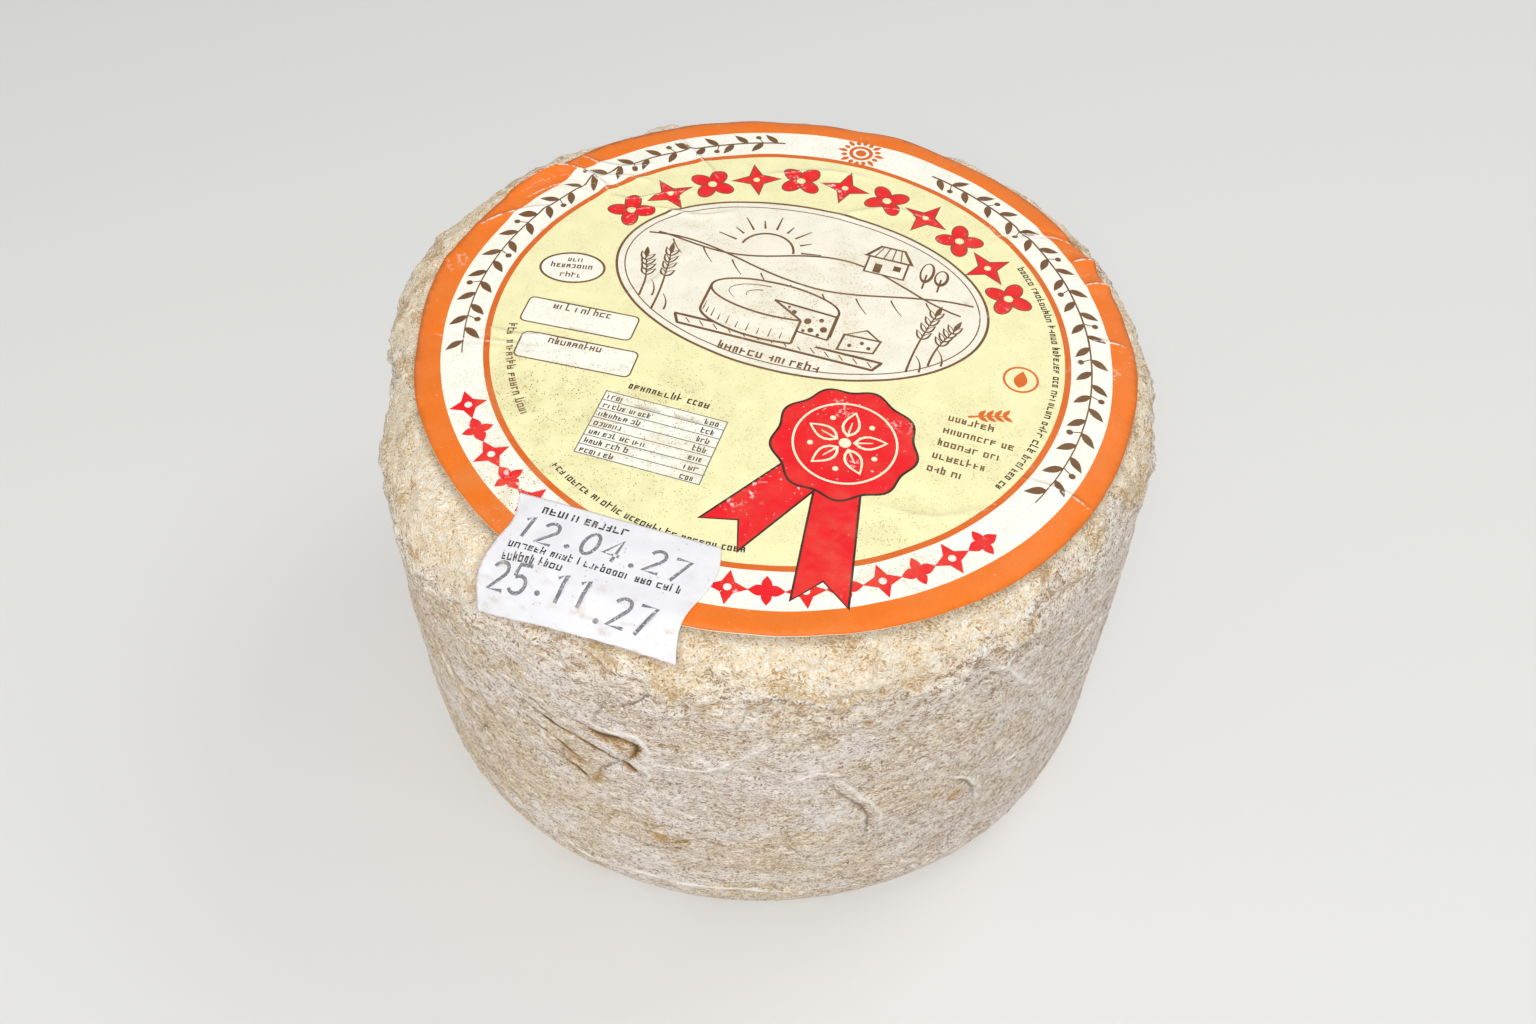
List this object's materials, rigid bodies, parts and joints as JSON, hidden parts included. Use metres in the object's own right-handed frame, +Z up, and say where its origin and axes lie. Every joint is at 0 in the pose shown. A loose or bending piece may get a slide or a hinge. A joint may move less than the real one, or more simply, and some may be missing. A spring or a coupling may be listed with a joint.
{
  "type": "mixed milk cheese wheel",
  "caption": "Small whole pressed cheese wheel with a natural rind, a round paper label on its top and a date sticker folded over the shoulder.",
  "frame": {"origin": "under the middle of the wheel's bounding box, on the surface that it stands on", "axes": "+Z up out of the labelled top, -Y towards the side that the sticker is nearest, +X to the right of it"},
  "size_m": [0.1308, 0.1308, 0.0811],
  "materials": {
    "rind": "dry, matt, finely pitted natural cheese rind, cream at the shoulder and grey-beige at the side",
    "label_paper": "printed uncoated paper, orange ring, pale yellow field, slightly cockled",
    "sticker_paper": "white matt price-gun paper with grey date numerals"
  },
  "bodies": {
    "root": {"cheese_wheel": "rind", "top_label": "label_paper", "date_sticker": "sticker_paper"}
  },
  "joints": []
}
